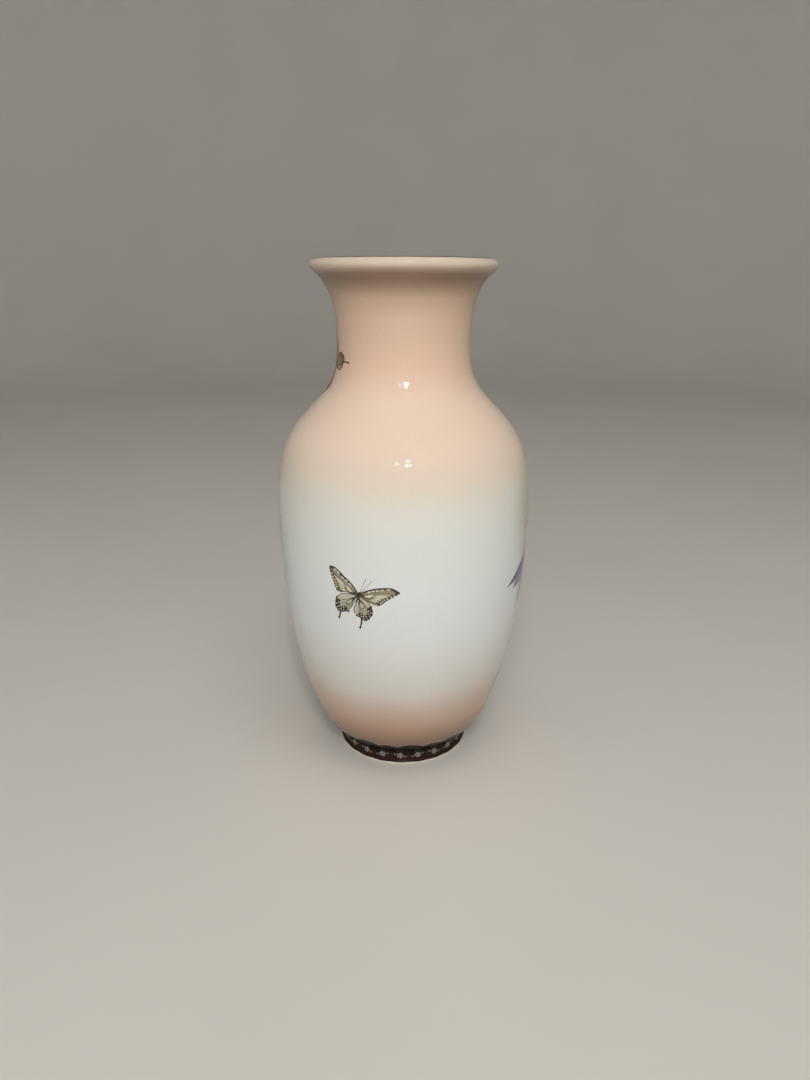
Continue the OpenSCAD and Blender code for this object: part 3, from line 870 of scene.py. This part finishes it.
def laceTop(angle):
    top = lace["line"]
    for centre, half, rise in scallops():
        away = (angle - centre + 180) % 360 - 180
        u = math.radians(away) * lace["round"] / half
        if abs(u) < 1:
            top = max(top, lace["line"] - 1 + (rise + 1) * math.sqrt(1 - u * u))
    return top


def laceFoot(angle):
    turn = math.radians((angle - lace["turn"]) * 2 * lace["pairs"])
    return lace["low"] + lace["wave"] * math.cos(turn)


def addLaceGround(material):
    points, faces, rows, columns = [], [], lace["rows"], lace["columns"]
    for k in range(columns):
        angle = 360 * k / columns
        low, high = laceFoot(angle), laceTop(angle)
        # the rows lie closer together low down, where the foot curves under
        line = [low + (high - low) * (i / (rows - 1)) ** 1.6 for i in range(rows)]
        points += [onWall(angle, z * mm, lace["lift"] * mm) for z in line]
        points += [onWall(angle, z * mm, -filmSink * mm) for z in reversed(line)]
    ring = 2 * rows
    for k in range(columns):
        n = (k + 1) % columns
        faces += [(k * ring + i, n * ring + i, n * ring + (i + 1) % ring, k * ring + (i + 1) % ring)
                  for i in range(ring)]
    return makePiece("laceGround", points, faces, material)


def laceLobe(angle, half, rise, wideOne):
    # a fan of slit openings, a row of pinholes round it, and a small rosette below
    patches, top = [], lace["line"] + rise
    count, reach, spread, step = (7, 3.5, 24, 17) if wideOne else (5, 2.9, 28, 19)
    for i in range(count):
        a = math.radians(90 + (i - (count - 1) / 2) * spread)
        x, y = (1.4 + reach / 2) * math.cos(a), top - reach - 3.2 + (1.4 + reach / 2) * math.sin(a)
        patches.append(spot(x * 1.15, y, reach, 0.62, math.degrees(a), 8, at=angle, tone=0.35))
    for i in range(-4, 5):
        a = math.radians(90 + i * step)
        x, y = half * 0.83 * math.cos(a), lace["line"] - 1 + (rise + 0.1) * math.sin(a)
        patches.append(spot(x, y, 0.42, 0.42, 0, 6, at=angle, tone=0.5))
    for i in range(6):
        a = math.radians(60 * i)
        x, y = 0.85 * math.cos(a), lace["rosetteUp"] + 0.85 * math.sin(a)
        patches.append(spot(x, y, 0.95, 0.5, 60 * i, 8, at=angle, tone=0.8))
    return patches


def laceFlower(middle, lean):
    # a pale flower with leaves at its sides, and the dark eye and ribs that lie on them
    up = lace["flowerUp"]
    patches, ribs = [], [spot(0, up, 0.6, 0.6, 0, 8, at=middle)]
    for i in range(5):
        a = 90 + 72 * i + lean
        x, y = 0.95 * math.cos(math.radians(a)), up + 0.75 * math.sin(math.radians(a))
        patches.append(spot(x, y, 1.6, 1.3, a, 10, at=middle, tone=0.04 + 0.06 * (i % 3), lift=0.001 * i))
    for side in (-1, 1):
        y = up + side * lean * 0.045
        patches.append(spot(side * 2.55, y, 1.7, 0.85, lean + side * 14, 10, at=middle, tone=0.16))
        patches.append(spot(side * 1.0, 6.7, 1.3, 0.6, 60 * side, 8, at=middle, tone=0.4))
        rib = [(side * 1.7, up + side * lean * 0.03), (side * 3.3, up + side * lean * 0.06)]
        ribs.append(stroke(rib, 0.14, 0.1, 3, at=middle))
    return patches, ribs


def laceOpenings():
    patches, ribs = [], []
    for number, (angle, half, rise) in enumerate(scallops()):
        wideOne = number % 2 == 0
        patches += laceLobe(angle, half, rise, wideOne)
        petals, veins = laceFlower(angle + lacePitch / 4, 12 if wideOne else -14)
        patches += petals
        ribs += veins
    # net of square meshes between the motifs, and pinholes along the lower edge
    around = 2 * math.pi * lace["netRound"] / lace["netGap"]
    count = int(around / (2 * lace["pairs"])) * 2 * lace["pairs"]
    for row, z in enumerate(lace["netRows"]):
        for k in range(count):
            angle = 360 * (k + 0.5 * (row % 2)) / count
            away = (angle - lace["turn"] + lacePitch / 4) % (lacePitch / 2) - lacePitch / 4
            if abs(away) > lace["clear"] + 0.35 * row and z < laceTop(angle) - 1.7:
                patches.append(spot(0, z, 0.72, 0.6, 0, 4, at=angle, tone=0.45))
    holes = lace["pinholes"] * 2 * lace["pairs"]
    for k in range(holes):
        angle = lace["turn"] + 360 * (k + 0.5) / holes
        patches.append(spot(0, laceFoot(angle) + 0.75, 0.62, 0.45, 0, 6, at=angle, tone=0.7))
    return patches, ribs


def lacePicots():
    # tiny loops that bead the scalloped edge
    patches = []
    for angle, half, rise in scallops():
        for i in range(lace["picots"]):
            a = math.pi * (i + 0.5) / lace["picots"]
            x, y = half * math.cos(a), lace["line"] - 1 + (rise + 1) * math.sin(a)
            if y > lace["line"]:
                patches.append(spot(x, y, 0.62, 0.62, 0, 8, at=angle))
    return patches


# Black lace print: dense ink fired into the glaze, darkest at the top, as painted shade where the foot
# curves under, and maroon brown near the foot, which is partly the print's own colour and partly painted
# light where the foot turns up to the lamps; its shine is kept low, so that it stays black beside the pale
# floor
laceInk, tree = startMaterial("blackLacePrint")
place = addNode(tree, "TexCoord").outputs["Object"]
height = addNode(tree, "SeparateXYZ", {0: place}).outputs[2]
cloud = addNode(tree, "TexNoise", {"Vector": place, "Scale": 1 / (4 * mm), "Detail": 3.0})
drift = addNode(tree, "MapRange", {0: cloud.outputs[0], 1: 0.3, 2: 0.7, 3: -2.5 * mm, 4: 2.5 * mm})
moved = addNode(tree, "Math", {0: height, 1: drift.outputs[0]}, operation="ADD")
share = addNode(tree, "Math", {0: moved.outputs[0], 1: 16 * mm}, operation="DIVIDE")
colour = addNode(tree, "ValToRGB", {0: share.outputs[0]},
                 [(0.1, "#33201b"), (0.3, "#2c1f1a"), (0.5, "#1b1512"), (0.9, "#120e0d")])
# threads of the ground, drawn at 0.9 mm because the real 0.4 mm ones would not show
threads = addNode(tree, "TexVoronoi", {"Vector": place, "Scale": 1 / (0.9 * mm)},
                  feature="DISTANCE_TO_EDGE")
holes = addNode(tree, "MapRange", {0: threads.outputs[0], 1: 0.1, 2: 0.35, 3: 0.0, 4: 0.35})
colour = addNode(tree, "Mix", {0: holes.outputs[0], 6: colour.outputs[0], 7: "#3b322e"}, data_type="RGBA")
finishMaterial(tree, {"Base Color": colour.outputs[2], "Roughness": 0.12, "IOR": 1.5,
                      "Specular IOR Level": 0.03})
# the glaze that shows in the openings, painted grey and dark as painted shade: pale in the flowers, nearly
# lost in the slits and the net
laceHole = printMaterial("laceOpeningPaintedShade", [(0.0, "#968d8b"), (0.35, "#4a403c"), (0.7, "#372c28"),
                                                  (1.0, "#2e2420")], thin=0.15)

laceGround = addLaceGround(laceInk)
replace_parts(laceGround, "foot_lace_band")
openings, ribs = laceOpenings()
layOn("laceOpenings", openings, (0, 0), 0.05, laceHole)
layOn("laceRibs", ribs, (0, 0), 0.07, laceInk)
layOn("lacePicots", lacePicots(), (0, 0), 0.036, laceInk)
print("lace is laid on")


# The violet blooms on the far side, with their stems, leaves and buds

# violet enamel, brushed along the petals: lavender streaks that end in a maroon tip
petalPrint = printMaterial(
    "violetEnamelPrint",
    [(0.0, "#3f2f5e"), (0.22, "#6c5998"), (0.6, "#9d90c4"), (0.86, "#8a76ab"), (1.0, "#7b3f5c")],
    {"deep": "#3d3547", "count": 5.0, "pale": "#c3badb", "rim": 0.45, "edge": "#d3cce4"})
# dark violet line enamel: fine veins
violetInk = printMaterial("violetInkPrint", [(0.0, "#3b2a55"), (1.0, "#6e2f4d")], thin=0.15)
# leaf enamel: a deep green that yellows towards the tip, with a dark rim
leafPrint = printMaterial(
    "leafEnamelPrint", [(0.0, "#2f4424"), (0.35, "#4b6532"), (0.8, "#74874a"), (1.0, "#8f8a4e")],
    {"deep": "#5d6b3c", "count": 4.0, "pale": "#8c9c62", "rim": 0.5, "edge": "#2f3f25"})
# pale green line enamel: the ribs stand out light on the leaf
leafRib = printMaterial("paleGreenInkPrint", [(0.0, "#b3bd84"), (1.0, "#5f5a33")], thin=0.1)
# olive enamel, browner on the shaded side of a stem
stemPrint = printMaterial("oliveEnamelPrint", [(0.0, "#4d5a30"), (0.5, "#6a6a3b"), (1.0, "#6b4b3a")],
                          thin=0.2)
# yellow enamel, with cream anthers
stamenPrint = printMaterial("yellowEnamelPrint", [(0.0, "#d9c45c"), (0.5, "#b98f2f"), (1.0, "#efe6b8")],
                            thin=0.1)

bloomLong = 36
# petals are (turn, length, width), as shares of the bloom's length; "place" is degrees round
# and millimetres up
fullPetals = [(i * 45 + 12, 1.0, 0.42) for i in range(8)]
blooms = [
    {"name": "rightBloom", "node": "right_bloom", "place": (95, 112), "long": bloomLong,
     "petals": [(206, 1.13, 0.42), (199.5, 1.27, 0.24), (140, 0.72, 0.4), (105, 1.0, 0.42), (60, 1.08, 0.4),
                (15, 1.04, 0.4), (325, 0.94, 0.4), (278, 1.0, 0.4), (226, 1.08, 0.44)],
     "tones": [0.2, 1.0, 0.35, 0.1, 0.3, 0.05, 0.35, 0.5, 0.35]},
    {"name": "centreBloom", "node": "centre_bloom", "place": (178, 138), "long": bloomLong * 0.92,
     "petals": fullPetals, "tones": [0.05, 0.3, 0.0, 0.35, 0.1, 0.25, 0.0, 0.3]},
    {"name": "leftBloom", "node": "left_bloom", "place": (258, 106), "long": bloomLong * 0.8,
     "petals": fullPetals, "tones": [0.2, 0.0, 0.3, 0.05, 0.25, 0.0, 0.35, 0.1]},
]
# a petal's veins: the place across it, the share of its length that one reaches, and the width
petalVeins = [(0, 0.93, 0.5), (0.34, 0.84, 0.28), (-0.34, 0.84, 0.28), (0.66, 0.72, 0.2), (-0.66, 0.72, 0.2)]
stamenCount = 34


def addBloom(bloom):
    petals, lines, stamens = [], [], []
    for i, ((turn, long, wide), tone) in enumerate(zip(bloom["petals"], bloom["tones"])):
        # every second petal lies over its neighbours
        over = 0.014 * (i % 2) + 0.0012 * i
        blade = {"long": bloom["long"] * long, "wide": bloom["long"] * wide, "bulge": 0.85,
                 "turn": turn, "up": 0}
        petals.append(bladePatch(blade, tone=tone, lift=over))
        for s, end, veinWide in petalVeins:
            lines.append(bladeLine(blade, s, 0.1, end, veinWide, 0.12, lift=over, tone=0.4 * (s == 0)))
    for i in range(stamenCount):
        a, reach = math.radians(360 * i / stamenCount + 4 * (i % 3)), 2.6 + 1.1 * (i % 3)
        tip = (reach * math.cos(a), reach * math.sin(a))
        stamens.append(stroke([(0.5 * math.cos(a), 0.5 * math.sin(a)), tip], 0.24, 0.2, 3,
                              tone=0.2, lift=0.001 * (i % 7)))
        stamens.append(spot(*tip, 0.75, 0.5, math.degrees(a), 8, tone=0.5 + 0.2 * (i % 2), lift=0.008))
    stamens.append(spot(0, 0, 1.9, 1.9, 0, 14, tone=0.0, lift=0.009))
    piece = layOn(bloom["name"] + "Petals", petals, bloom["place"], 0.036, petalPrint)
    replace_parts(piece, bloom["node"])
    layOn(bloom["name"] + "Lines", lines, bloom["place"], 0.05, violetInk)
    layOn(bloom["name"] + "Stamens", stamens, bloom["place"], 0.078, stamenPrint)


# each stem is a bent line through four places, (degrees round, millimetres up): three carry
# the blooms, and the two thinner ones carry buds
stems = [[(174, 46), (172, 60), (140, 74), (112, 92)], [(176, 44), (182, 64), (172, 84), (178, 118)],
         [(179, 46), (196, 56), (226, 66), (246, 88)], [(150, 112), (146, 130), (142, 144), (134, 156)],
         [(204, 118), (210, 130), (216, 142), (222, 148)]]
stemWide = [1.8, 1.8, 1.8, 1.1, 1.1]
# leaves are (degrees round, millimetres up, turn, share of a full leaf)
leaves = [(168, 62, 205, 1.0), (158, 74, 118, 0.7), (138, 74, 250, 0.8), (183, 62, 322, 0.95),
          (208, 66, 80, 0.75), (222, 70, 292, 0.85), (142, 128, 20, 0.7), (212, 138, 165, 0.6)]
leafSize = {"long": 32, "slim": 0.34, "veins": 6}
# buds are (degrees round, millimetres up, turn)
buds = [(134, 155, 128), (222, 147, 62), (203, 167, 75)]
budSize = {"long": 12, "wide": 5, "sepalLong": 5.2, "sepalWide": 1.6}


def bezier(p, t):
    shares = ((1 - t)**3, 3 * t * (1 - t)**2, 3 * t * t * (1 - t), t**3)
    return tuple(shares[0] * p[0][k] + shares[1] * p[1][k] + shares[2] * p[2][k] + shares[3] * p[3][k]
                 for k in (0, 1))


def addStems():
    patches = []
    for i, (stem, wide) in enumerate(zip(stems, stemWide)):
        path = [bezier(stem, j / 10) for j in range(11)]
        middle = (path[0][0] + path[-1][0]) / 2
        line = [(math.radians(a - middle) * wallRadius(z * mm) / mm, z) for a, z in path]
        patches.append(stroke(line, wide, wide * 0.6, 3, at=middle, tone=0.1 + 0.12 * i, lift=0.001 * i))
        shade = [(x - wide * 0.22, z - wide * 0.12) for x, z in line]
        patches.append(stroke(shade, wide * 0.3, wide * 0.2, 3, at=middle, tone=0.95, lift=0.006))
    return layOn("bloomStems", patches, (0, 0), 0.02, stemPrint)


def addLeaves():
    patches, ribs = [], []
    for i, (angle, z, turn, share) in enumerate(leaves):
        long = leafSize["long"] * share
        blade = {"long": long, "wide": long * leafSize["slim"], "bulge": 0.9, "turn": turn, "up": z}
        patches.append(bladePatch(blade, at=angle, tone=0.12 * (i % 4), lift=0.001 * i))
        ribs.append(bladeLine(blade, 0, 0.02, 0.96, 0.5, 0.14, at=angle))
        for k in range(leafSize["veins"]):
            t = 0.14 + 0.12 * k
            for side in (-1, 1):
                path = [bladePoint(blade, t + on, out * side)
                        for on, out in ((0, 0), (0.09, 0.42), (0.14, 0.8))]
                ribs.append(stroke(path, 0.26, 0.1, 3, at=angle, tone=0.15, lift=0.001))
    layOn("leafRibs", ribs, (0, 0), 0.048, leafRib)
    return layOn("leafSpray", patches, (0, 0), 0.03, leafPrint)


def addBuds():
    patches, cups = [], []
    for i, (angle, z, turn) in enumerate(buds):
        blade = {"long": budSize["long"], "wide": budSize["wide"], "bulge": 0.8, "turn": turn, "up": z}
        patches.append(bladePatch(blade, 14, 6, at=angle, tone=0.1 * i))
        for lean in (-20, 0, 20):
            sepal = {"long": budSize["sepalLong"], "wide": budSize["sepalWide"], "bulge": 0.9,
                     "turn": turn + lean, "up": z}
            cups.append(bladePatch(sepal, 8, 4, at=angle, tone=0.3, lift=0.002 * (lean == 0)))
    layOn("budCups", cups, (0, 0), 0.055, leafPrint)
    return layOn("budSprig", patches, (0, 0), 0.04, petalPrint)


for bloom in blooms:
    addBloom(bloom)
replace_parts(addStems(), "bloom_stems")
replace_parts(addLeaves(), "leaf_spray")
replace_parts(addBuds(), "bud_sprig")
print("blooms, stems, leaves and buds are laid on")
